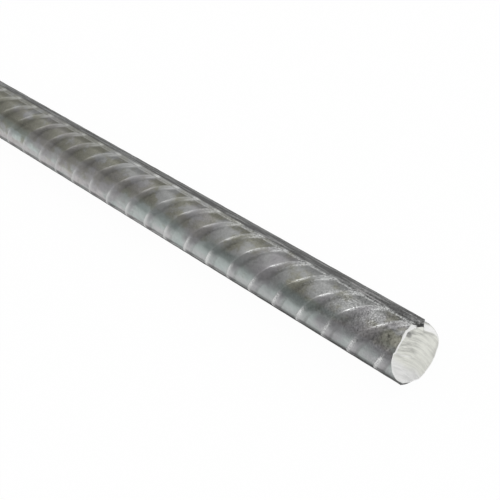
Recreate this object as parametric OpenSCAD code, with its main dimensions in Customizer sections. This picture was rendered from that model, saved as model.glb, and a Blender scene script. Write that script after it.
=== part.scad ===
// Hot-rolled steel reinforcing bar: a round core with two long ribs rolled
// along it, opposite each other, cut square at both ends.
// The bar lies along X with its middle over the origin and its lowest line at z = 0.

/* [Bar] */
// Length of the bar as cut
bar_length = 610; // [150:5:6100]
// Diameter of the round core between the ribs
core_diameter = 12.3; // [8:0.1:40]

/* [Long ribs] */
// Height of each long rib above the core
rib_height = 0.8; // [0.3:0.05:2]
// Width across a rib's crest, before its corners are rounded
crest_width = 2; // [1:0.1:4]
// Slope of a rib's flanks away from the rib's middle plane
flank_angle = 30; // [10:1:45]
// Radius on the two corners of a rib's crest
crest_radius = 0.3; // [0.1:0.05:0.5]
// Radius of the fillet between a rib's flank and the core
root_radius = 0.6; // [0.2:0.05:1.5]

/* [Cut ends] */
// Bevel ground round each cut end, measured on the core
end_bevel = 0.3; // [0.1:0.05:1]

/* [Rest] */
// Lean of the ribs' middle plane from upright, as the bar comes to rest on a floor
rib_lean = 40; // [0:1:180]

/* [Hidden] */
$fn = 96;
// Straight steps in each small arc of the section
arc_steps = 5;
// Share of the straight flank that a root fillet may take up
root_share = 0.9;
// Depth of a rib's foot in the core
foot_depth = 0.02;

mill_scale_grey = [0.45, 0.46, 0.45];

// The section is drawn with one rib upright on +Y. Its right flank falls from
// the crest's corner along flank_down, and flank_out points out of the flank.
core_radius = core_diameter / 2;
crest_corner = [crest_width / 2, core_radius + rib_height];
flank_down = [sin(flank_angle), -cos(flank_angle)];
flank_out = [cos(flank_angle), sin(flank_angle)];

// How far along a line from a point the line first meets a circle about the axis
function run_to_circle(point, direction, radius) =
    let (middle = -point * direction)
    middle - sqrt(middle * middle - point * point + radius * radius);

// Points along an arc, from one direction to another
function arc(centre, radius, from, to) =
    [for (i = [0:arc_steps])
        let (way = from + (to - from) * i / arc_steps)
        centre + radius * [cos(way), sin(way)]];

// A row of points on the right of the rib, then the same mirrored back along its left
function both_sides(points) =
    concat(points, [for (i = [len(points) - 1:-1:0]) [-points[i].x, points[i].y]]);

// Rounded corner of the crest: its tangents run this far from the sharp corner
corner_radius = min(crest_radius, rib_height / 2);
corner_run = corner_radius * (1 - sin(flank_angle)) / cos(flank_angle);
corner_centre = crest_corner - [corner_run, corner_radius];

// Root of the flank: where it would meet the core, and the open angle there
flank_run = run_to_circle(crest_corner, flank_down, core_radius);
root_point = crest_corner + flank_run * flank_down;
root_angle = 90 + flank_angle + atan2(root_point.x, root_point.y);

// Root fillet, no longer than the straight flank that is left below the corner;
// its foot goes a little way into the core, so that rib and core are one body
fillet_radius = min(root_radius, root_share * (flank_run - corner_run) * tan(root_angle / 2));
fillet_start = crest_corner + fillet_radius * flank_out;
fillet_reach = core_radius + fillet_radius - foot_depth;
fillet_centre = fillet_start + run_to_circle(fillet_start, flank_down, fillet_reach) * flank_down;
fillet_foot_way = 180 + atan2(fillet_centre.y, fillet_centre.x);

// Height of the axis: the bar lies on its core, or on a corner of the lower rib
// where that reaches further down
rib_reach = corner_centre.y * abs(cos(rib_lean)) + corner_centre.x * abs(sin(rib_lean)) + corner_radius;
axis_height = max(core_radius, rib_reach);

// A cone of 45 degrees bevels each end; beyond the ribs it meets a clear cylinder
clear_radius = norm(crest_corner) + end_bevel;
cone_run = clear_radius - core_radius + end_bevel;

// One long rib, upright on +Y: root fillet, flank and rounded corner on each side
module long_rib_section() {
    root_fillet = arc(fillet_centre, fillet_radius, fillet_foot_way, 180 + flank_angle);
    rounded_corner = arc(corner_centre, corner_radius, flank_angle, 90);
    polygon(both_sides(concat(root_fillet, rounded_corner)));
}

// The rolled section: the round core and both long ribs
module bar_section() {
    circle(core_radius);
    for (turn = [0, 180])
        rotate(turn) long_rib_section();
}

// Everything inside the bevels of the two cut ends, along Z
module end_bevels() {
    half = bar_length / 2;
    end_radius = core_radius - end_bevel;
    rotate_extrude()
        polygon([
            [0, -half],
            [end_radius, -half],
            [clear_radius, cone_run - half],
            [clear_radius, half - cone_run],
            [end_radius, half],
            [0, half]
        ]);
}

// The whole bar, laid along X with its ribs leaning
module rebar() {
    color(mill_scale_grey)
        translate([0, 0, axis_height])
            rotate([90, 0, 90])
                intersection() {
                    linear_extrude(bar_length, center = true)
                        rotate(-rib_lean) bar_section();
                    end_bevels();
                }
}

rebar();
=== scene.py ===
"""Rolled surface and cut ends of a straight ribbed steel bar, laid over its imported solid.

The bar lies along X. Angles round it are measured from the lower long rib, up over the side that faces -Y.
Lengths in the mesh code are in millimetres and become metres when the mesh is written.
"""

import math

import bpy
import numpy as np
from bpy.props import FloatProperty, FloatVectorProperty, IntProperty, PointerProperty
from mathutils import Matrix, Vector


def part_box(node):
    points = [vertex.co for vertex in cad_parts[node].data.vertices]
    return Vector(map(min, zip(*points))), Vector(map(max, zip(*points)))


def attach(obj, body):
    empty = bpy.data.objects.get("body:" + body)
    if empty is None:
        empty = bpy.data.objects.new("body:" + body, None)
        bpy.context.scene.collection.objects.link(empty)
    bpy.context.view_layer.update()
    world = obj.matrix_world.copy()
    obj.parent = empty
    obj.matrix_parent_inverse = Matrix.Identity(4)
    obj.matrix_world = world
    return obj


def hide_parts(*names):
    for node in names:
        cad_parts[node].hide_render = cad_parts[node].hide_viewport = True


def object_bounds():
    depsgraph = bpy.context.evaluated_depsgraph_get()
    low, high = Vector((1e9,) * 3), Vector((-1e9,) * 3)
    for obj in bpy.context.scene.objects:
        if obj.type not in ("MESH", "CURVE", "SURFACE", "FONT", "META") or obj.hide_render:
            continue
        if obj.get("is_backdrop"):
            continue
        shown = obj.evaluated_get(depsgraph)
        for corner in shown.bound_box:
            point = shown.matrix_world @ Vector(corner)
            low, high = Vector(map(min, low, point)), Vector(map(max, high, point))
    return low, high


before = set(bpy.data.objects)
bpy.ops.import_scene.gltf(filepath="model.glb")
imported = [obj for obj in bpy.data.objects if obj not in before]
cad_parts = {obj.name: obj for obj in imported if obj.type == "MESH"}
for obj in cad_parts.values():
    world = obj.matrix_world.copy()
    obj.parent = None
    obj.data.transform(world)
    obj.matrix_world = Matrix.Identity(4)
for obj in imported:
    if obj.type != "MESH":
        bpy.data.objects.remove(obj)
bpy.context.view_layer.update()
BAR_LOW, BAR_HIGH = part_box("rebar")

bl_info = {
    "name": "Ribbed Reinforcing Bar",
    "version": (1, 0, 0),
    "blender": (4, 5, 0),
    "location": "3D View > Sidebar > Rebar",
    "description": "Builds the rolled surface and cut ends of a ribbed steel bar, and a pale stage for it",
    "category": "Object",
}

MM = 0.001
BAR_LENGTH = BAR_HIGH.x - BAR_LOW.x
CORE_RADIUS = 0.00615

# Offsets of a cross rib's mesh rows from the rib's middle line, along the bar
ROW_OFFSETS = (-1.8, -1.42, -1.27, -1.12, -0.95, 0.0, 0.7, 1.05, 1.4, 1.75, 2.1)
# Whole pitches that a row of ribs moves along the bar in one turn
PITCHES_PER_TURN = 4
# Radii of the rings across a cut face, as shares of its edge
FACE_RINGS = (0.96, 0.92, 0.87, 0.81, 0.74, 0.66, 0.57, 0.47, 0.36, 0.24, 0.12)
# Masks on the mesh's points: crests of the cross ribs, their rubbed edges with painted highlights, dirt and
# painted shade at their feet and under the cut faces' ridges, long ribs, and cut rims
POINT_MASKS = ("crest", "edge", "root", "band", "rim")
# Angle from the lower long rib to the middle of the side that the camera sees
SEEN_MIDDLE = math.radians(116)
# How far the middle of the seen side is turned up from level
SEEN_HEIGHT = math.radians(66)
# Unevenness of the rolled surface: depth of its skin, and spread of the cross ribs' width, height and line
SKIN_DEPTH = 0.012
WIDTH_SPREAD = 0.06
HEIGHT_SPREAD = 0.07
LINE_DRIFT = 0.10
# Rows of mesh that come closer than this to a cut end run into its ring of points
ROW_GAP = 0.16
# Bevels of the near cut end's edge: on its upper right, down its left, and more on its upper left
RIGHT_BEVEL = 0.95
LEFT_BEVEL = 0.2
UPPER_LEFT_BEVEL = 0.25
# Depth and length along the bar of the notch where the upper long rib meets a cut face
NOTCH_DEPTH = 0.45
NOTCH_RUN = 0.1
# Waves left by the saw, and how far the upper part of the far face stands out
SAW_RIPPLE = 0.03
FAR_STEP = 0.12
# The saw's two passes on the near face: the upper one is deeper and ends in a ledge, which tilts across it
STEP_DEPTH = 0.42
LEDGE_HEIGHT = 0.3
LEDGE_DROP = 0.85
LEDGE_TILT = 0.18
# Where that ledge leaves the near face, from the middle of the seen side
STEP_TURN = math.radians(-18.6)
# Depth of the dimple beside the near face's edge
DIMPLE_DEPTH = 0.2
# Stage, in metres: strength of the even light from all round, and reach of the floor from the middle
ROOM_LEVEL = 0.9
FLOOR_REACH = 12.0
# Where the two lamps stand, from the cut end that is seen, and how wide they are
SOFTBOX_PLACE = (-0.3, 0.45, 0.9)
SOFTBOX_SIZE = 0.7
END_LIGHT_PLACE = (-1.4, 0.26, 0.2)
END_LIGHT_SIZE = 0.5


class RebarShape(bpy.types.PropertyGroup):
    """Sizes of the rolled bar"""

    core_radius: FloatProperty(
        name="Core Radius",
        description="Radius of the round core between the ribs",
        default=CORE_RADIUS,
        unit="LENGTH",
        precision=5,
    )
    long_rib_height: FloatProperty(
        name="Long Rib Height",
        description="Height of the two long ribs above the core",
        default=0.0008,
        unit="LENGTH",
        precision=5,
    )
    long_rib_crest: FloatProperty(
        name="Long Rib Crest",
        description="Width across a long rib's crest before its corners are rounded",
        default=0.002,
        unit="LENGTH",
        precision=5,
    )
    long_rib_flank: FloatProperty(
        name="Long Rib Flank",
        description="Slope of a long rib's flanks away from its middle plane",
        default=math.radians(30),
        subtype="ANGLE",
    )
    crest_radius: FloatProperty(
        name="Crest Radius",
        description="Radius on the corners of a long rib's crest",
        default=0.0003,
        unit="LENGTH",
        precision=5,
    )
    root_radius: FloatProperty(
        name="Root Radius",
        description="Radius of the fillet between a long rib and the core",
        default=0.0006,
        unit="LENGTH",
        precision=5,
    )
    rib_lean: FloatProperty(
        name="Rib Lean",
        description="Lean of the long ribs' plane from upright, as the bar lies",
        default=math.radians(40),
        subtype="ANGLE",
    )
    cross_rib_height: FloatProperty(
        name="Cross Rib Height",
        description="Height of the slanting cross ribs above the core",
        default=0.00035,
        unit="LENGTH",
        precision=5,
    )
    cross_rib_pitch: FloatProperty(
        name="Cross Rib Pitch",
        description="Spacing of the cross ribs along the bar",
        default=0.00783,
        unit="LENGTH",
        precision=5,
    )
    cross_rib_crest: FloatProperty(
        name="Cross Rib Crest",
        description="Half the width of a cross rib's crest, along the bar",
        default=0.00095,
        unit="LENGTH",
        precision=5,
    )
    cross_rib_foot: FloatProperty(
        name="Cross Rib Foot",
        description="Half the width of a cross rib at its foot, along the bar",
        default=0.00142,
        unit="LENGTH",
        precision=5,
    )
    cross_rib_lee: FloatProperty(
        name="Cross Rib Lee",
        description="How far a cross rib's gentler flank, towards +X, runs out from the rib's middle",
        default=0.0021,
        unit="LENGTH",
        precision=5,
    )
    cross_rib_slant: FloatProperty(
        name="Cross Rib Slant",
        description="How far a cross rib runs along the bar for each radian round it",
        default=0.00505,
        unit="LENGTH",
        precision=5,
    )
    cross_rib_bow: FloatProperty(
        name="Cross Rib Bow",
        description="How much the slant grows along a cross rib, for each radian squared",
        default=0.00059,
        unit="LENGTH",
        precision=5,
    )
    first_rib: FloatProperty(
        name="First Rib",
        description="Where the first whole cross rib passes the middle of the front, from the +X end",
        default=0.00645,
        unit="LENGTH",
        precision=5,
    )
    stagger: FloatProperty(
        name="Stagger",
        description="Shift of the cross ribs on the back against those on the front, in pitches",
        default=0.38,
    )
    end_round: FloatProperty(
        name="End Round",
        description="Rounding of the edge of a cut face",
        default=0.00014,
        unit="LENGTH",
        precision=5,
    )
    panel_lines: IntProperty(
        name="Panel Lines",
        description="Mesh lines between two long ribs",
        default=27,
        min=8,
    )
    seed: IntProperty(
        name="Seed",
        description="Seed of the small unevenness of the rolled surface",
        default=7,
    )


class RebarFinish(bpy.types.PropertyGroup):
    """Colours of the steel"""

    mill_scale: FloatVectorProperty(
        name="Mill Scale",
        description="Dull grey scale left by hot rolling",
        default=(0.40, 0.405, 0.40),
        subtype="COLOR",
    )
    # Also painted floor reflection over the lower zone
    pale_scale_and_reflection: FloatVectorProperty(
        name="Pale Scale",
        description="Paler, bluish patches of the scale",
        default=(0.50, 0.55, 0.535),
        subtype="COLOR",
    )
    olive_scale: FloatVectorProperty(
        name="Olive Scale",
        description="Brownish patches where the scale has begun to turn",
        default=(0.29, 0.285, 0.225),
        subtype="COLOR",
    )
    violet_scale: FloatVectorProperty(
        name="Violet Scale",
        description="Faintly violet, bare-looking patches of the scale",
        default=(0.36, 0.345, 0.365),
        subtype="COLOR",
    )
    teal_scale: FloatVectorProperty(
        name="Teal Scale",
        description="Dark bluish edge of the pale patches",
        default=(0.26, 0.30, 0.29),
        subtype="COLOR",
    )
    blush_scale: FloatVectorProperty(
        name="Blush Scale",
        description="Light, faintly pink scale along the foot of the bar",
        default=(0.60, 0.58, 0.585),
        subtype="COLOR",
    )
    # Also the dark colour of painted shade at the ribs' feet and on the cut faces
    rib_scale_and_shade: FloatVectorProperty(
        name="Rib Scale",
        description="Dark, streaked scale on the long ribs",
        default=(0.2, 0.2, 0.198),
        subtype="COLOR",
    )
    # Also the colour of the painted glints on the rib edges
    worn_and_glint_steel: FloatVectorProperty(
        name="Worn Steel",
        description="Steel rubbed bright on the crests of the cross ribs",
        default=(0.86, 0.87, 0.86),
        subtype="COLOR",
    )
    cut_steel: FloatVectorProperty(
        name="Cut Steel",
        description="Bare steel of the sawn ends",
        default=(0.84, 0.845, 0.79),
        subtype="COLOR",
    )
    cool_steel: FloatVectorProperty(
        name="Cool Steel",
        description="Cooler bare steel on the lower part of the sawn ends",
        default=(0.87, 0.87, 0.87),
        subtype="COLOR",
    )
    # Also the colour of the painted highlights on the ledge and rims
    burr_and_highlight_steel: FloatVectorProperty(
        name="Burr Steel",
        description="Bright burrs round the rims of the sawn ends",
        default=(0.96, 0.96, 0.95),
        subtype="COLOR",
    )


class RebarStage(bpy.types.PropertyGroup):
    """Camera, floor and light"""

    lens: FloatProperty(
        name="Lens",
        description="Focal length on a 36 mm wide sensor, in millimetres",
        default=104.4,
    )
    camera_place: FloatVectorProperty(
        name="Camera Place",
        description="Where the camera stands",
        default=(0.472195, -0.0919708, 0.2127199),
        subtype="TRANSLATION",
        unit="LENGTH",
        precision=5,
    )
    camera_aim: FloatVectorProperty(
        name="Camera Aim",
        description="The point in the middle of the picture",
        default=(0.2521556, 0.0013391, 0.00615),
        subtype="TRANSLATION",
        unit="LENGTH",
        precision=5,
    )
    camera_roll: FloatProperty(
        name="Camera Roll",
        description="Turn of the camera about its line of sight",
        default=math.radians(-26.7363),
        subtype="ANGLE",
    )
    floor_colour: FloatVectorProperty(
        name="Floor Colour",
        description="Colour of the plain floor",
        default=(0.9, 0.9, 0.9),
        subtype="COLOR",
    )
    softbox_power: FloatProperty(
        name="Softbox Power",
        description="Power of the soft light overhead, in watts",
        default=1.0,
    )
    end_light_power: FloatProperty(
        name="End Light Power",
        description="Power of the light beyond the far end, in watts",
        default=3.6,
    )


def smooth(value, low, high):
    """0 below low, 1 above high, and an even curve between them"""
    share = np.clip((value - low) / (high - low), 0.0, 1.0)
    return share * share * (3.0 - 2.0 * share)


def bell(value, middle, width):
    """1 at the middle, dying away on both sides"""
    return np.exp(-(((value - middle) / width) ** 2))


def make_waves(random, count, shortest, longest, radius):
    """A patchwork of random waves over the bar, about 1 high, that closes round it"""
    lengths = random.uniform(shortest, longest, count)
    ways = random.uniform(0.0, math.tau, count)
    phases = random.uniform(0.0, math.tau, count)
    along = math.tau / lengths * np.cos(ways)
    around = np.round(math.tau / lengths * np.sin(ways) * radius)

    def height(place, turn):
        total = np.zeros(np.broadcast(place, turn).shape)
        for step, count_round, phase in zip(along, around, phases):
            total = total + np.cos(step * place + count_round * turn + phase)
        return total * math.sqrt(2.0 / count)

    return height


class BarForm:
    """The numbers of the rolled bar, in millimetres and radians"""

    def __init__(self, shape):
        self.core = shape.core_radius / MM
        self.half = BAR_LENGTH / MM / 2.0
        self.axis = self.core
        self.lean = shape.rib_lean
        self.pitch = shape.cross_rib_pitch / MM
        self.slant = shape.cross_rib_slant / MM
        self.bow = shape.cross_rib_bow / MM
        self.rib_height = shape.cross_rib_height / MM
        self.rib_crest = shape.cross_rib_crest / MM
        self.rib_foot = shape.cross_rib_foot / MM
        self.rib_lee = shape.cross_rib_lee / MM
        self.end_round = shape.end_round / MM
        self.stagger = shape.stagger * self.pitch
        self.set_lines(shape)
        self.row_start = self.half - shape.first_rib / MM - float(self.shift(SEEN_MIDDLE))
        random = np.random.default_rng(shape.seed)
        self.drift = make_waves(random, 14, 9.0, 40.0, self.core)
        self.swell = make_waves(random, 24, 4.0, 14.0, self.core)
        self.skin = make_waves(random, 40, 2.4, 6.0, self.core)
        self.edge = make_waves(random, 24, 1.2, 5.0, self.core)

    def set_lines(self, shape):
        """Lays the mesh lines round the bar: on the points of the long ribs' section, then evenly between"""
        turns, radii = long_rib_profile(shape)
        self.foot_turn = turns[-1]
        seam = self.foot_turn + np.array([0.02, 0.05])
        panel = np.linspace(seam[-1], math.pi - seam[-1], shape.panel_lines)[1:-1]
        panel = np.sort(np.concatenate([panel, SEEN_MIDDLE + STEP_TURN + np.radians([-0.6, 0.6])]))
        panel = np.concatenate([seam, panel, math.pi - seam[::-1]])
        half_turns = np.concatenate([turns, panel, math.pi - turns[:0:-1]])
        half_radii = np.concatenate([radii, np.full(len(panel), self.core), radii[:0:-1]])
        self.turns = np.concatenate([half_turns, half_turns + math.pi])
        self.section = np.concatenate([half_radii, half_radii])

    def slant_at(self, lean):
        """Where a cross rib is along the bar, at an angle from the middle of its side"""
        return self.slant * lean + self.bow * lean * lean

    def shift(self, turn):
        """How far the rows of cross ribs have moved along the bar, at an angle from the lower long rib"""
        turn = np.asarray(turn, float)
        quarter = math.pi / 2.0
        start = self.slant_at(-quarter)
        side_run = self.slant_at(quarter) - start
        side = np.floor(turn / math.pi)
        within = turn - side * math.pi
        run = side * side_run + self.slant_at(within - quarter) - start
        step = PITCHES_PER_TURN * self.pitch / 2.0 - side_run
        upper = np.clip((turn - math.pi + self.foot_turn) / (2.0 * self.foot_turn), 0.0, 1.0)
        lower = np.clip(turn / (2.0 * self.foot_turn), 0.0, 0.5)
        closing = np.clip((turn - math.tau + self.foot_turn) / (2.0 * self.foot_turn), 0.0, 0.5)
        return run + (step + self.stagger) * upper + (step - self.stagger) * (lower + closing)

    def rib_gap(self, turn):
        """Angle from the middle of the nearer long rib"""
        return np.abs((turn + math.pi / 2.0) % math.pi - math.pi / 2.0)

    def rib_reach(self, turn):
        """Share of a cross rib's full height, which dies away into the long ribs"""
        gap = self.rib_gap(turn)
        taper = 0.7 + 0.3 * smooth(gap, math.radians(20), math.radians(45))
        return taper * smooth(gap, math.radians(12), math.radians(17))

    def cross_rib(self, place, turn, seen, offset):
        """Share of a cross rib's height and that height, which is less in the middle of a side"""
        width = offset * (1.0 + WIDTH_SPREAD * self.swell(place, turn))
        flat = bell(seen, -13.0, 20.0)
        steep = smooth(width, -self.rib_foot - 0.8 * flat, 0.25 * flat - self.rib_crest)
        gentle = 1.0 - smooth(width, 0.7 * self.rib_crest, self.rib_lee)
        height = self.rib_height * (1.0 + HEIGHT_SPREAD * self.swell(place + 31.0, turn))
        return steep * gentle * self.rib_reach(turn), height * (1.0 - 0.6 * flat)

    def surface(self, place, turn, section, offset):
        """Radius of the bar and its masks, at an offset along the bar from a cross rib's middle"""
        seen = np.degrees(turn % math.pi - SEEN_MIDDLE)
        reach = self.rib_reach(turn)
        crest, height = self.cross_rib(place, turn, seen, offset)
        radius = section + crest * height + SKIN_DEPTH * self.skin(place, turn)

        # Zones up a side: its foot, the ribs' tips below the long rib, its upper half where glints are
        # painted, and its middle where shade is painted
        low = 1.0 - smooth(seen, -42.0, -24.0)
        tip = smooth(seen, 24.0, 38.0)
        painted_glint_zone = smooth(seen, 0.0, 8.0) * (1.0 - 0.4 * tip)
        caked = (1.0 - low) * (1.0 - smooth(seen, -4.0, 6.0))

        # Rubbed edges to the left and right of a rib's crest, with painted glints on the left edge in the
        # upper half and lighter strips in the lower zone; a painted highlight along the long rib's seam and
        # at the rib's tip
        left, right = bell(offset, -1.12, 0.2), bell(offset, 1.1, 0.25)
        edge = 2.0 * painted_glint_zone * left + tip * (0.6 * left + 1.2 * right + 0.8 * crest)
        edge = edge + 2.2 * low * bell(offset, -0.7, 0.5) + 0.5 * painted_glint_zone * right
        seam = bell(self.rib_gap(turn), self.foot_turn - 0.03, 0.03)
        tip_highlight = bell(seen, 47.0, 8.0) * bell(offset, 0.2, 1.0)
        edge = np.maximum(np.maximum(edge * reach, 0.8 * seam), 1.5 * tip_highlight)

        # Dirt and painted shade along a rib's feet, more in the lower zone, and painted shade on both flanks
        # in the middle of the side
        root = (0.1 + 0.8 * low) * bell(offset, 1.6, 0.35)
        root = root + caked * (0.5 * bell(offset, -1.15, 0.35) + 0.5 * bell(offset, 1.5, 0.4))
        return radius, {"crest": crest, "edge": edge, "root": root * reach}

    def rib_offset(self, place, turn):
        """Offset along the bar from the nearest cross rib's middle"""
        middle = self.shift(turn) + self.row_start
        return (place - middle + self.pitch / 2.0) % self.pitch - self.pitch / 2.0

    def point(self, place, turn, radius):
        """Points of the mesh in metres"""
        way = turn + math.pi / 2.0 + self.lean - math.pi
        across = -radius * np.cos(way)
        up = radius * np.sin(way) + self.axis
        return np.stack(np.broadcast_arrays(place, across, up), axis=-1) * MM


def long_rib_profile(shape):
    """Angles and radii down one side of a long rib's section, from the middle of its crest to its foot"""
    core = shape.core_radius / MM
    top = core + shape.long_rib_height / MM
    flank = shape.long_rib_flank
    corner_radius = shape.crest_radius / MM
    fillet_radius = shape.root_radius / MM
    corner = np.array([shape.long_rib_crest / MM / 2.0, top])
    down = np.array([math.sin(flank), -math.cos(flank)])
    out = np.array([math.cos(flank), math.sin(flank)])
    run = corner_radius * (1.0 - math.sin(flank)) / math.cos(flank)
    corner_centre = corner - np.array([run, corner_radius])
    start = corner + fillet_radius * out
    middle = -start @ down
    reach = core + fillet_radius
    fillet_centre = start + (middle - math.sqrt(middle**2 - start @ start + reach**2)) * down
    foot_way = math.pi + math.atan2(fillet_centre[1], fillet_centre[0])
    points = [np.array([0.0, top]), np.array([corner_centre[0] * 0.55, top])]
    for way in np.linspace(math.pi / 2.0, flank, 4):
        points.append(corner_centre + corner_radius * np.array([math.cos(way), math.sin(way)]))
    for way in np.linspace(math.pi + flank, foot_way, 4):
        points.append(fillet_centre + fillet_radius * np.array([math.cos(way), math.sin(way)]))
    points = np.array(points)
    return np.arctan2(points[:, 0], points[:, 1]), np.hypot(points[:, 0], points[:, 1])


class BarMesh:
    """Collects the bar's points, faces and the masks that its material reads"""

    def __init__(self):
        self.points = []
        self.masks = {name: [] for name in POINT_MASKS}
        self.count = 0
        self.faces = []
        self.cut = []
        self.sharp = []

    def add_points(self, points, masks):
        """Adds points with their masks, and gives their numbers"""
        first = self.count
        self.points.append(points.reshape(-1, 3))
        for name in POINT_MASKS:
            values = np.broadcast_to(masks.get(name, 0.0), points.shape[:-1])
            self.masks[name].append(values.reshape(-1))
        self.count += len(self.points[-1])
        return np.arange(first, self.count).reshape(points.shape[:-1])

    def add_faces(self, corners, cut):
        """Adds faces of four corners, as triangles where two corners are one point"""
        for face, mark in zip(corners.tolist(), np.broadcast_to(cut, len(corners)).tolist()):
            kept = [v for n, v in enumerate(face) if v != face[n - 1]]
            if len(set(kept)) == len(kept) > 2:
                self.faces.append(kept)
                self.cut.append(mark)

    def build(self, name):
        """Makes the Blender mesh"""
        mesh = bpy.data.meshes.new(name)
        mesh.from_pydata(np.concatenate(self.points).tolist(), [], self.faces)
        mesh.shade_smooth()
        for mask in POINT_MASKS:
            layer = mesh.attributes.new(mask, "FLOAT", "POINT")
            layer.data.foreach_set("value", np.concatenate(self.masks[mask]).astype(np.float32))
        layer = mesh.attributes.new("cut", "FLOAT", "FACE")
        layer.data.foreach_set("value", np.array(self.cut, np.float32))
        sharp = {tuple(sorted(pair)) for pair in self.sharp}
        for edge in mesh.edges:
            if tuple(sorted(edge.vertices)) in sharp:
                edge.use_edge_sharp = True
        return mesh


def end_edge(form, side):
    """At each mesh line: the bevel of a cut end's edge, and how far the line lies in the rib's notch"""
    notch = 1.0 - smooth(np.abs(form.turns - math.pi), math.radians(7), math.radians(10.5))
    edge = form.end_round * (1.0 + 0.35 * form.edge(side * 50.0, form.turns))
    if side > 0:
        seen = np.degrees(form.turns - SEEN_MIDDLE)
        edge = edge + RIGHT_BEVEL * smooth(seen, 64.0, 76.0) * (1.0 - smooth(seen, 96.0, 136.0))
        left = LEFT_BEVEL * smooth(seen, 0.0, 14.0) + UPPER_LEFT_BEVEL * smooth(seen, 32.0, 44.0)
        edge = edge + left * (1.0 - smooth(seen, 52.0, 58.0))
    return edge + (NOTCH_DEPTH - edge) * notch, notch


def face_depth(form, side, turn, radius):
    """How far a cut face stands out along the bar: saw marks, the step between two passes, a dimple"""
    seen = turn - SEEN_MIDDLE
    front = radius * np.cos(seen)
    above = radius * np.sin(seen)
    depth = SAW_RIPPLE * np.sin(0.9 * above + 0.25 * front + 0.4 * side)
    if side < 0:
        return depth + FAR_STEP * smooth(above, -1.5, 4.0)
    passes = above + LEDGE_DROP + LEDGE_TILT * front
    upper = smooth(above, -0.5, 4.0)
    step = STEP_DEPTH * upper * smooth(front, -2.0, 4.5)
    ledge = LEDGE_HEIGHT * (1.0 - upper) * smooth(front, 0.5, 5.0) * smooth(passes, -0.05, 0.08)
    dimple = bell(front, 5.0, 0.35) * bell(above, 2.55, 0.3)
    return depth - step + ledge - DIMPLE_DEPTH * dimple


def start_end(mesh, form, side, band):
    """Finds where the rows of mesh stop at one end, and adds the ring of points that they run into"""
    turns, reach = form.turns, form.section - form.core
    edge, notch = end_edge(form, side)
    face = form.half + face_depth(form, side, turns, form.core - edge)
    run = edge + (NOTCH_RUN - edge) * notch
    # The upper long rib is cut nearly square at the +X end; elsewhere the long ribs slope down to the edge
    slope = 1.0 - 0.85 * (np.abs(turns - math.pi) < 1.0) if side > 0 else 1.0
    stop = side * (face - run - reach * slope)
    radius, masks = form.surface(stop, turns, form.section, form.rib_offset(stop, turns))
    bare = 3.0 * smooth(edge, 0.45, 0.8)
    masks["edge"] = np.maximum(masks["edge"], bare)
    return {
        "limit": side * (face - run),
        "edge": edge,
        "run": run,
        "notch": notch,
        "core_radius": radius - reach,
        "ring": mesh.add_points(form.point(stop, turns, radius), {**masks, "band": band}),
        "stop": stop,
        "bare": bare,
    }


def close_end(mesh, form, side, end):
    """Closes one end: the sloping ends of the long ribs, a rounded edge, and the sawn face"""
    turns = form.turns
    names = ("limit", "edge", "run", "notch", "core_radius")
    limit, edge, run, notch, core_radius = (end[name] for name in names)
    long_rib = form.section > form.core + 0.01
    upper_rib = long_rib & (np.abs(turns - math.pi) < 1.0)
    lip = mesh.add_points(form.point(limit, turns, core_radius), {"band": upper_rib * 1.0})
    lip = np.where(long_rib, lip, end["ring"])
    rings = [end["ring"], lip]
    glint = 0.45 + 0.55 * smooth(np.degrees(turns - SEEN_MIDDLE), -30.0, -18.0)
    for share in (0.33, 0.67, 1.0):
        bevel = form.point(limit + side * run * share, turns, core_radius - edge * share)
        rings.append(mesh.add_points(bevel, {"rim": glint * (1.0 - notch), "band": notch}))
    rim = core_radius - edge
    for share in FACE_RINGS:
        radius = rim * share
        place = side * (form.half + face_depth(form, side, turns, radius))
        shadow = smooth(edge, 0.5, 0.9) * bell(share, 0.92, 0.05)
        rings.append(mesh.add_points(form.point(place, turns, radius), {"root": shadow}))
    for level, (outer, inner) in enumerate(zip(rings, rings[1:])):
        corners = np.stack([inner, np.roll(inner, -1), np.roll(outer, -1), outer], axis=-1)
        cut = np.ones(len(turns)) if level else 1.0 - upper_rib
        mesh.add_faces(corners if side > 0 else corners[:, ::-1], cut)
    hub_place = np.array([side * (form.half + face_depth(form, side, 0.0, 0.0))])
    middle = mesh.add_points(form.point(hub_place, 0.0, np.zeros(1)), {})
    inner = rings[-1]
    hub = np.full(len(inner), middle[0])
    fan = np.stack([hub, np.roll(inner, -1), inner, hub], axis=-1)
    mesh.add_faces(fan if side > 0 else fan[:, ::-1], 1.0)
    for ring in (rings[1], rings[0], rings[4]):
        mesh.sharp += list(zip(ring.tolist(), np.roll(ring, -1).tolist()))


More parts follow.
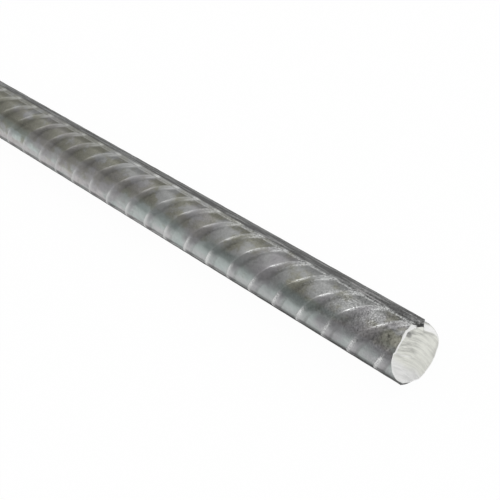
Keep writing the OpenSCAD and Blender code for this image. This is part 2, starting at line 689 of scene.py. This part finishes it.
def build_bar(shape):
    """The whole bar: rows of mesh that follow the slanting ribs round it, and its two cut ends"""
    form = BarForm(shape)
    mesh = BarMesh()
    turns, section = form.turns, form.section
    offsets = np.array(ROW_OFFSETS + (form.pitch / 2.0,))
    rows_round = PITCHES_PER_TURN * len(offsets)

    low = math.floor((-form.half - form.shift(math.tau) - form.row_start) / form.pitch) - 1
    high = math.ceil((form.half - form.row_start) / form.pitch) + 1
    pitches = np.arange(low, high + 1)
    starts = (form.row_start + pitches[:, None] * form.pitch + offsets).reshape(-1)
    row_offsets = np.tile(offsets, len(pitches))

    shift = form.shift(turns)
    place = starts[:, None] + shift
    hold = 1.0 - smooth(np.abs(row_offsets), 1.2, form.pitch / 2.0)
    place = place + LINE_DRIFT * form.drift(place, turns) * hold[:, None]
    radius, masks = form.surface(place, turns, section, row_offsets[:, None])
    band = smooth(section, form.core + 0.03, form.core + 0.77)
    masks["band"] = np.broadcast_to(band, place.shape)

    number = np.full((len(starts) + rows_round + 1, len(turns)), -1)
    inside = np.ones(place.shape, bool)
    ends = {}
    for side in (1, -1):
        end = start_end(mesh, form, side, band)
        near = smooth(side * place, form.half - 3.0, form.half - 1.2)
        masks["edge"] = np.maximum(masks["edge"], end["bare"] * near)
        beyond = side * (place - end["stop"]) > -ROW_GAP
        inside &= ~beyond
        number[: len(starts)][beyond] = np.broadcast_to(end["ring"], place.shape)[beyond]
        if side > 0:
            number[len(starts) :] = end["ring"]
        ends[side] = end
    inner_masks = {name: values[inside] for name, values in masks.items()}
    kept = mesh.add_points(form.point(place, turns, radius)[inside], inner_masks)
    number[: len(starts)][inside] = kept

    body = number[: len(starts) + 1]
    wrapped = number[rows_round:, :1]
    body = np.concatenate([body, wrapped], axis=1)
    corners = np.stack([body[:-1, :-1], body[1:, :-1], body[1:, 1:], body[:-1, 1:]], axis=-1)
    mesh.add_faces(corners.reshape(-1, 4), 0.0)
    for side in (1, -1):
        close_end(mesh, form, side, ends[side])
    return mesh.build("rebar_rolled")


class Value:
    """A socket of a node tree; expressions on it add Math nodes"""

    def __init__(self, tree, socket):
        self.tree = tree
        self.socket = socket

    def math(self, operation, *terms):
        """One Math node"""
        return self.tree.node("ShaderNodeMath", {"operation": operation}, dict(enumerate(terms)))

    def __add__(self, other):
        return self.math("ADD", self, other)

    def __radd__(self, other):
        return self.math("ADD", other, self)

    def __sub__(self, other):
        return self.math("SUBTRACT", self, other)

    def __rsub__(self, other):
        return self.math("SUBTRACT", other, self)

    def __mul__(self, other):
        return self.math("MULTIPLY", self, other)

    def __rmul__(self, other):
        return self.math("MULTIPLY", other, self)

    def __truediv__(self, other):
        return self.math("DIVIDE", self, other)

    def __rtruediv__(self, other):
        return self.math("DIVIDE", other, self)

    def __pow__(self, other):
        return self.math("POWER", self, other)

    def __rpow__(self, other):
        return self.math("POWER", other, self)


class Tree:
    """The nodes of one material or world"""

    def __init__(self, owner):
        owner.use_nodes = True
        self.tree = owner.node_tree
        self.tree.nodes.clear()

    def node(self, kind, settings=None, inputs=None, output=0):
        """Adds a node, sets it up, feeds its inputs and gives one of its outputs"""
        made = self.tree.nodes.new(kind)
        for name, value in (settings or {}).items():
            setattr(made, name, value)
        for name, value in (inputs or {}).items():
            socket = made.inputs[name]
            if isinstance(value, Value):
                self.tree.links.new(value.socket, socket)
            elif socket.type == "RGBA":
                socket.default_value = (*value, 1.0)
            else:
                socket.default_value = value
        return Value(self, made.outputs[output]) if made.outputs else None

    def ramp(self, value, low, high, bottom=0.0, top=1.0):
        """An even curve from bottom to top as the value goes from low to high"""
        ends = {"Value": value, "From Min": low, "From Max": high, "To Min": bottom, "To Max": top}
        return self.node("ShaderNodeMapRange", {"interpolation_type": "SMOOTHSTEP"}, ends)

    def blend(self, share, first, second):
        """Mixes two colours"""
        return self.node("ShaderNodeMix", {"data_type": "RGBA"}, {0: share, 6: first, 7: second}, 2)

    def noise(self, place, scale, detail=2.0, roughness=0.5, distortion=0.0):
        """Soft random patches, between 0 and 1"""
        inputs = {
            "Vector": place,
            "Scale": scale,
            "Detail": detail,
            "Roughness": roughness,
            "Distortion": distortion,
        }
        return self.node("ShaderNodeTexNoise", {"noise_dimensions": "3D"}, inputs)

    def stretch(self, place, scale, move=(0.0, 0.0, 0.0)):
        """A place multiplied by a scale for each axis, then moved"""
        inputs = {0: place, 1: scale, 2: move}
        return self.node("ShaderNodeVectorMath", {"operation": "MULTIPLY_ADD"}, inputs)

    def dot(self, place, way):
        """How far a place lies along a direction"""
        return self.node("ShaderNodeVectorMath", {"operation": "DOT_PRODUCT"}, {0: place, 1: way}, "Value")

    def distance(self, place, point):
        """How far a place lies from a point"""
        return self.node("ShaderNodeVectorMath", {"operation": "DISTANCE"}, {0: place, 1: point}, "Value")

    def shade(self, colour, level):
        """A colour made darker or lighter by a value"""
        grey = self.node("ShaderNodeCombineColor", None, {0: level, 1: level, 2: level})
        multiply = {"data_type": "RGBA", "blend_type": "MULTIPLY"}
        return self.node("ShaderNodeMix", multiply, {0: 1.0, 6: colour, 7: grey}, 2)

    def mask(self, name):
        """One of the masks stored on the mesh"""
        return self.node("ShaderNodeAttribute", {"attribute_name": name}, output="Fac")


class SteelFinish:
    """Nodes of the steel: mill scale in zones with painted shade and light, rubbed rib edges with painted
    glints, dark long ribs and bright sawn ends
    """

    def __init__(self, finish):
        self.finish = finish
        self.material = bpy.data.materials.new("mill_scale_steel")
        self.tree = Tree(self.material)
        self.place = self.tree.node("ShaderNodeTexCoord", output="Object")
        # The edge mask holds rubbed edges and painted highlights; the root mask holds dirt and painted shade
        masks = (self.tree.mask(name) for name in POINT_MASKS)
        self.crest, self.edge, self.root, self.band, self.rim = masks
        self.sawn = self.tree.mask("cut")
        self.set_lengthwise_zones()
        self.set_upright_zones()
        self.set_patches()
        self.set_saw_marks()

    def set_lengthwise_zones(self):
        """Zones by the distance from the nearer cut end, in which the long ribs take on their tone"""
        tree = self.tree
        self.station = tree.dot(self.place, (1.0, 0.0, 0.0))
        self.from_end = BAR_LENGTH / 2.0 - self.station.math("ABSOLUTE", self.station)
        # Speckled end, part rubbed by handling, plain part beyond it, and part furthest away
        self.end_zone = tree.ramp(self.from_end, 0.033, 0.007)
        self.handled = tree.ramp(self.from_end, 0.100, 0.013)
        self.plain = 1.0 - self.handled
        self.remote = tree.ramp(self.from_end, 0.077, 0.117)
        flank = tree.ramp(self.band, 0.04, 0.2) * tree.ramp(self.band, 0.95, 0.7)
        self.flank = flank * (self.plain - 0.6 * self.remote)
        self.band = tree.ramp(self.band, self.plain * 0.65, 0.45 + self.plain * 0.55)
        self.cut = self.sawn * (1.0 - self.band)

    def set_upright_zones(self):
        """Zones up the side that the camera sees, from -1 at its foot to 1 at its top"""
        tree = self.tree
        rise, lean = math.cos(SEEN_HEIGHT), math.sin(SEEN_HEIGHT)
        side = tree.dot(self.place, (0.0, lean, rise)) / CORE_RADIUS - rise
        self.side = side
        self.above = side * CORE_RADIUS
        self.front = tree.dot(self.place, (0.0, -rise, lean)) - CORE_RADIUS * lean
        self.drift = tree.noise(tree.stretch(self.place, (0.6, 1.0, 1.0)), 120.0, 3.0)
        self.wavy = side + (self.drift - 0.5) * 0.5
        self.low = tree.ramp(self.wavy - 0.23 * self.plain - 0.1 * self.remote, -0.36, -0.62)
        self.upper = tree.ramp(side, -0.05, 0.12) * tree.ramp(side, 0.60, 0.45)
        patch = tree.ramp(side, -0.40, -0.20) * tree.ramp(side, 0.75, 0.50)
        self.last = patch * tree.ramp(self.from_end, 0.0085, 0.0045)

    def set_patches(self):
        """Patches, grain and streaks of the scale"""
        tree, place = self.tree, self.place
        self.bloom = tree.noise(tree.stretch(place, (0.8, 1.0, 1.0), (0.3, 0.1, 0.7)), 190.0, 4.0, 0.6)
        self.blotch = tree.noise(place, 1100.0, 2.0) - 0.5
        self.grain = tree.noise(place, 2300.0, 3.0, 0.6)
        self.speck = tree.noise(place, 4200.0, 2.0, 0.7)
        self.streak = tree.noise(tree.stretch(place, (0.05, 1.0, 1.0)), 1900.0, 3.0, 0.6)
        flaked = tree.ramp(self.bloom + self.end_zone * 0.12, 0.50, 0.62)
        self.flaked = flaked * (1.0 - 0.6 * self.low)

    def set_saw_marks(self):
        """Arcs left by the saw on the cut faces, clearest on the upper part of the near side"""
        tree, front = self.tree, self.front
        arcs = {0: self.above + 25.0 * front * front, 1: front * 0.1}
        self.marks = tree.noise(tree.node("ShaderNodeCombineXYZ", None, arcs), 1700.0, 4.0, 0.6, 0.25)
        self.scored = 0.4 + 0.6 * tree.ramp(front, -0.0015, 0.002) * tree.ramp(self.side, -0.45, -0.15)

    def rib_colour(self):
        """Dark scale of the long ribs, with paler streaks along them"""
        tree, finish = self.tree, self.finish
        grey = tree.ramp(self.streak, 0.45, 0.57) * 0.9
        bright = tree.ramp(self.streak, 0.57, 0.66) * self.handled * 0.8
        colour = tree.blend(grey, finish.rib_scale_and_shade, finish.mill_scale)
        return tree.blend(bright, colour, finish.blush_scale)

    def scale_colour(self):
        """Layers of colour over the grey scale, with painted floor reflection in the pale lower zone and
        painted shade at the ribs' feet
        """
        tree, finish, side, handled = self.tree, self.finish, self.side, self.handled
        # Pale patches over the lower zone, which also paint in the floor's reflection there
        pale = self.low * tree.ramp(self.drift - 0.03 + handled * 0.2, 0.38, 0.56)
        middle = tree.ramp(side, -0.52, -0.34) * tree.ramp(side, 0.34, 0.06)
        caked = middle * (0.05 + 0.09 * self.plain + 0.13 * self.end_zone)
        caked = caked + self.last * 0.1 - self.low * 0.14 + self.plain * 0.05 + self.remote * 0.09
        olive = tree.ramp(self.bloom + caked, 0.50, 0.64)
        violet = tree.ramp(self.drift - self.crest * 0.08 - self.low * self.crest * 0.1, 0.50, 0.34)
        shore = tree.ramp(self.wavy, -0.60, -0.44) * tree.ramp(self.wavy, -0.06, -0.30)
        shore = shore * tree.ramp(self.drift, 0.42, 0.56)
        foot = tree.ramp(side, -0.66, -0.86) * tree.ramp(self.bloom, 0.36, 0.56)
        # Dirt and painted shade at the ribs' feet
        dirt_and_shade = self.root * tree.ramp(self.grain, 0.3, 0.6, 0.3, 0.8)
        layers = (
            (pale * (1.0 - 0.3 * self.crest), finish.pale_scale_and_reflection),
            (olive * 0.8, finish.olive_scale),
            (violet * (0.5 + 0.2 * handled), finish.violet_scale),
            (shore * (0.5 + 0.3 * handled), finish.teal_scale),
            (foot * (0.8 - 0.5 * handled), finish.blush_scale),
            (dirt_and_shade * (0.4 + 0.6 * handled), finish.rib_scale_and_shade),
            (self.band * 0.95, self.rib_colour()),
        )
        colour = finish.mill_scale
        for share, layer in layers:
            colour = tree.blend(share, colour, layer)
        return colour

    def scale_tone(self):
        """Lightness of the scale: its grain, then painted shade and light up the side and along the bar"""
        tree, side, crest = self.tree, self.side, self.crest
        low, plain, handled, remote = self.low, self.plain, self.handled, self.remote
        calm = (1.0 - 0.6 * low) * (1.0 - 0.4 * self.last) * (1.0 - 0.45 * crest)
        fine = (self.grain - 0.5) * (0.8 + 1.6 * self.end_zone)
        fine = fine + (self.speck - 0.5) * (0.3 + 0.9 * self.flaked)
        crown = tree.ramp(side, -0.3, -0.05) * (0.08 + 0.13 * tree.ramp(side, 0.5, 0.25))
        lit = tree.ramp(side, -0.35, -0.47) * tree.ramp(side, -0.86, -0.72)
        dim = tree.ramp(side, -0.37, -0.27) * tree.ramp(side, -0.02, -0.12)
        # Shares of the tone: painted shade along the bottom edge, painted light or shade over the lower
        # zone, painted shade over the upper half and just below the long rib, painted shade where the sawn
        # faces meet the long ribs, darker crests high on the side near the ends, lighter long ribs far from
        # the ends, and painted lit and dimmed bands far from the ends
        shares = (
            tree.ramp(side, -1.0, -0.92, 0.4, 1.0),
            1.0 + 0.2 * handled * tree.ramp(side, -0.60, -0.84),
            1.06 + low * (0.14 - 0.38 * handled),
            1.0 + self.band * (0.15 * plain + 0.14 * remote),
            1.0 - plain * crown,
            1.0 - 0.26 * tree.ramp(side, 0.48, 0.62) * (1.0 - crest),
            1.0 - 0.65 * self.sawn * self.band,
            1.0 - 0.13 * crest * self.upper * handled,
            1.0 + remote * (0.15 * lit - 0.1 * dim + 0.09 * low - 0.09),
        )
        tone = 1.0 + self.blotch * (0.3 + 1.5 * self.last) + fine * calm
        for share in shares:
            tone = tone * share
        return tone

    def rubbed_and_glint_share(self):
        """Share of bare steel and painted glints: rubbed rib edges, lit more in zones up the seen side, the
        long ribs' flanks, and flecks near the cut ends
        """
        tree, handled, plain = self.tree, self.handled, self.plain
        fleck = tree.ramp(tree.noise(self.place, 3000.0, 1.0), 0.55, 0.64) * self.upper * self.end_zone
        fleck = fleck * (1.0 - self.last) * (1.0 - 0.85 * self.crest)
        # Bare steel and painted glints reach further in the lower zone and high on the seen side
        wear_and_glint = 0.3 + 0.9 * handled + plain * (1.4 * self.low + 0.7 * tree.ramp(self.side, 0.50, 0.66))
        spots = handled * tree.ramp(self.grain * 0.5 + self.speck * 0.5, 0.42, 0.55) + plain * 0.55
        rubbed = self.edge * wear_and_glint * (1.0 - 0.3 * self.remote) + self.flank * 0.8
        return rubbed * (1.0 - self.band) * spots + fleck

    def cut_colour(self):
        """Bare steel of the cut faces: saw marks, painted shadow in and beside the dimple, painted shade
        under the ridge, darker towards the far rim, a painted highlight along the ledge, and bright rims
        with painted highlight
        """
        tree, finish, front = self.tree, self.finish, self.front
        colour = tree.blend(self.low * 0.8, finish.cut_steel, finish.cool_steel)
        colour = tree.shade(colour, 1.0 - tree.ramp(self.marks, 0.64, 0.34) * self.scored * 0.38)
        near_face = BAR_LENGTH / 2.0 - 0.0004
        # Painted shadow in the dimple and beside it, and painted shade under the bevel's ridge
        pit = tree.node("ShaderNodeCombineXYZ", None, {0: self.station, 1: front * 0.5, 2: self.above})
        dimple = tree.ramp(tree.distance(pit, (near_face, 0.00235, 0.00245)), 0.0008, 0.0003) * 0.75
        dimple_shadow_tail = tree.ramp(tree.distance(pit, (near_face, 0.0020, 0.0032)), 0.0008, 0.0001) * 0.45
        far_rim = tree.ramp(front, -0.0036, -0.0052) * tree.ramp(self.side, 0.05, 0.3) * 0.25
        colour = tree.blend(dimple + dimple_shadow_tail + far_rim + self.root * 0.4, colour, finish.rib_scale_and_shade)
        # A painted highlight along the ledge between the two passes
        ledge = self.above + LEDGE_TILT * front + LEDGE_DROP * MM
        ledge = tree.ramp(ledge.math("ABSOLUTE", ledge), 0.0002, 0.00006)
        ledge = ledge * tree.ramp(front, -0.0005, 0.003)
        colour = tree.blend(ledge * 0.8, colour, finish.burr_and_highlight_steel)
        # Bright rims: bare ground steel, with painted highlight stronger up the seen side
        return tree.blend(self.rim, colour, finish.burr_and_highlight_steel)

    def build(self):
        """Joins the scale and the cut faces in one shader, and gives the material"""
        tree, grain, band, cut = self.tree, self.grain, self.band, self.cut
        # Bare rubbed steel with painted glints on the rib edges
        rubbed = self.rubbed_and_glint_share()
        colour = tree.shade(self.scale_colour(), self.scale_tone())
        colour = tree.blend(rubbed * 0.75, colour, self.finish.worn_and_glint_steel)
        colour = tree.blend(cut, colour, self.cut_colour())
        roughness = tree.ramp(grain, 0.3, 0.7, 0.36, 0.52) - rubbed * 0.12 + band * 0.06
        scale_relief = grain * (0.6 + 0.8 * self.end_zone) + self.speck * (0.3 + 1.4 * self.flaked)
        scale_relief = scale_relief + self.streak * band * 2.0
        relief = scale_relief * (1.0 - cut) + self.marks * self.scored * cut * 3.0
        bump = {"Strength": 0.6, "Distance": 0.00006, "Height": relief}
        inputs = {
            "Base Color": colour,
            "Roughness": roughness + 0.14 * self.plain,
            "Metallic": 0.82 + cut * 0.16 - cut * self.rim * 0.6,
            "Normal": tree.node("ShaderNodeBump", None, bump),
            "Specular Tint": (0.45, 0.45, 0.45),
        }
        surface = tree.node("ShaderNodeBsdfPrincipled", None, inputs)
        tree.node("ShaderNodeOutputMaterial", None, {"Surface": surface})
        return self.material


class REBAR_OT_roll_bar(bpy.types.Operator):
    """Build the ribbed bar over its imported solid"""

    bl_idname = "rebar.roll_bar"
    bl_label = "Roll Bar"
    bl_options = {"REGISTER", "UNDO"}

    def execute(self, context):
        mesh = build_bar(context.scene.rebar_shape)
        if mesh.validate(verbose=False):
            raise RuntimeError("The bar's mesh has faces that are not sound")
        mesh.materials.append(SteelFinish(context.scene.rebar_finish).build())
        bar = bpy.data.objects.new("ribbed_bar", mesh)
        context.scene.collection.objects.link(bar)
        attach(bar, "root")
        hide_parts("rebar")
        return {"FINISHED"}


def make_floor_finish(stage):
    """A pale floor that shows white to the camera and in the steel, and still takes a soft shadow"""
    material = bpy.data.materials.new("pale_floor")
    tree = Tree(material)
    kinds = ("Camera", "Glossy", "Transmission")
    rays = [tree.node("ShaderNodeLightPath", output=f"Is {kind} Ray") for kind in kinds]
    camera, glossy, transmission = rays
    seen = camera * 0.97 + glossy * 0.65 + transmission * 0.97
    matt = tree.node("ShaderNodeBsdfDiffuse", None, {"Color": tuple(stage.floor_colour)})
    white = tree.node("ShaderNodeEmission", None, {"Color": (1.0, 1.0, 1.0), "Strength": 1.0})
    surface = tree.node("ShaderNodeMixShader", None, {0: seen, 1: matt, 2: white})
    tree.node("ShaderNodeOutputMaterial", None, {"Surface": surface})
    return material


def make_floor(scene, stage):
    """A wide plain floor under the lowest point of the bar"""
    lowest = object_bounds()[0].z
    mesh = bpy.data.meshes.new("floor")
    ways = ((-1, -1), (1, -1), (1, 1), (-1, 1))
    corners = [(x * FLOOR_REACH, y * FLOOR_REACH, lowest) for x, y in ways]
    mesh.from_pydata(corners, [], [(0, 1, 2, 3)])
    mesh.materials.append(make_floor_finish(stage))
    floor = bpy.data.objects.new("floor", mesh)
    scene.collection.objects.link(floor)
    floor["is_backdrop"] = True


def make_world(scene):
    """An even pale room"""
    world = bpy.data.worlds.new("pale_room")
    tree = Tree(world)
    inputs = {"Color": (1.0, 1.0, 1.0), "Strength": ROOM_LEVEL}
    background = tree.node("ShaderNodeBackground", None, inputs)
    tree.node("ShaderNodeOutputWorld", None, {"Surface": background})
    scene.world = world


def make_tent(scene, centre):
    """A long arched sheet over the bar that only the steel shows: dim in front, soft above and behind"""
    ways = np.radians(np.linspace(-3.0, 183.0, 49))
    mesh = bpy.data.meshes.new("light_tent")
    reach, far, near = 0.6, -1.1, 2.5
    points = [(end, -reach * math.cos(way), reach * math.sin(way)) for way in ways for end in (far, near)]
    faces = [(2 * n, 2 * n + 1, 2 * n + 3, 2 * n + 2) for n in range(len(ways) - 1)]
    mesh.from_pydata(points, [], faces)
    material = bpy.data.materials.new("tent_sheet")
    tree = Tree(material)
    place = tree.node("ShaderNodeTexCoord", output="Object")
    parts = {axis: tree.node("ShaderNodeSeparateXYZ", None, {0: place}, axis) for axis in "YZ"}
    way = parts["Z"].math("ARCTAN2", parts["Z"], 0.0 - parts["Y"])
    level = 0.11 + tree.ramp(way, math.radians(40), math.radians(100)) * 0.58
    level = level - tree.ramp(way, math.radians(105), math.radians(145)) * 0.18
    glow = tree.node("ShaderNodeEmission", None, {"Color": (1.0, 1.0, 1.0), "Strength": level})
    tree.node("ShaderNodeOutputMaterial", None, {"Surface": glow})
    mesh.materials.append(material)
    tent = bpy.data.objects.new("light_tent", mesh)
    tent.location = centre
    for kind in ("camera", "diffuse", "transmission", "volume_scatter", "shadow"):
        setattr(tent, "visible_" + kind, False)
    scene.collection.objects.link(tent)
    tent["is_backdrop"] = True


def add_light(scene, name, aim, away, size, power):
    """A soft square lamp that stands away from a point and is turned to it"""
    lamp = bpy.data.lights.new(name, "AREA")
    lamp.shape = "SQUARE"
    lamp.size = size
    lamp.energy = power
    light = bpy.data.objects.new(name, lamp)
    light.location = aim + Vector(away)
    light.rotation_euler = (aim - light.location).to_track_quat("-Z", "Y").to_euler()
    scene.collection.objects.link(light)


def add_camera(scene, stage):
    """The camera, aimed along its line of sight and rolled about it"""
    lens = bpy.data.cameras.new("camera")
    lens.sensor_width = 36.0
    lens.lens = stage.lens
    lens.clip_start = 0.01
    camera = bpy.data.objects.new("camera", lens)
    sight = Vector(stage.camera_aim) - Vector(stage.camera_place)
    upright = sight.to_track_quat("-Z", "Y").to_matrix().to_4x4()
    turn = Matrix.Rotation(stage.camera_roll, 4, "Z")
    camera.matrix_world = Matrix.Translation(Vector(stage.camera_place)) @ upright @ turn
    scene.collection.objects.link(camera)
    scene.camera = camera


class REBAR_OT_set_stage(bpy.types.Operator):
    """Set the floor, the light and the camera"""

    bl_idname = "rebar.set_stage"
    bl_label = "Set Stage"
    bl_options = {"REGISTER", "UNDO"}

    def execute(self, context):
        scene = context.scene
        stage = scene.rebar_stage
        scene.view_settings.view_transform = "Standard"
        make_world(scene)
        make_floor(scene, stage)
        end = Vector((BAR_HIGH.x, 0.0, 0.0))
        make_tent(scene, end)
        add_light(scene, "softbox", end, SOFTBOX_PLACE, SOFTBOX_SIZE, stage.softbox_power)
        add_light(scene, "end_light", end, END_LIGHT_PLACE, END_LIGHT_SIZE, stage.end_light_power)
        add_camera(scene, stage)
        return {"FINISHED"}


class REBAR_PT_sidebar(bpy.types.Panel):
    """Sizes, colours and steps of the ribbed bar"""

    bl_label = "Ribbed Bar"
    bl_idname = "REBAR_PT_sidebar"
    bl_space_type = "VIEW_3D"
    bl_region_type = "UI"
    bl_category = "Rebar"

    def draw(self, context):
        layout = self.layout
        for group in (context.scene.rebar_shape, context.scene.rebar_finish, context.scene.rebar_stage):
            box = layout.box()
            for name in group.__annotations__:
                box.prop(group, name)
        layout.operator(REBAR_OT_roll_bar.bl_idname)
        layout.operator(REBAR_OT_set_stage.bl_idname)


CLASSES = (RebarShape, RebarFinish, RebarStage, REBAR_OT_roll_bar, REBAR_OT_set_stage, REBAR_PT_sidebar)


def register():
    for cls in CLASSES:
        bpy.utils.register_class(cls)
    bpy.types.Scene.rebar_shape = PointerProperty(type=RebarShape)
    bpy.types.Scene.rebar_finish = PointerProperty(type=RebarFinish)
    bpy.types.Scene.rebar_stage = PointerProperty(type=RebarStage)


def unregister():
    del bpy.types.Scene.rebar_stage
    del bpy.types.Scene.rebar_finish
    del bpy.types.Scene.rebar_shape
    for cls in reversed(CLASSES):
        bpy.utils.unregister_class(cls)


def main():
    register()
    bpy.ops.rebar.roll_bar()
    bpy.ops.rebar.set_stage()


if __name__ == "__main__":
    main()
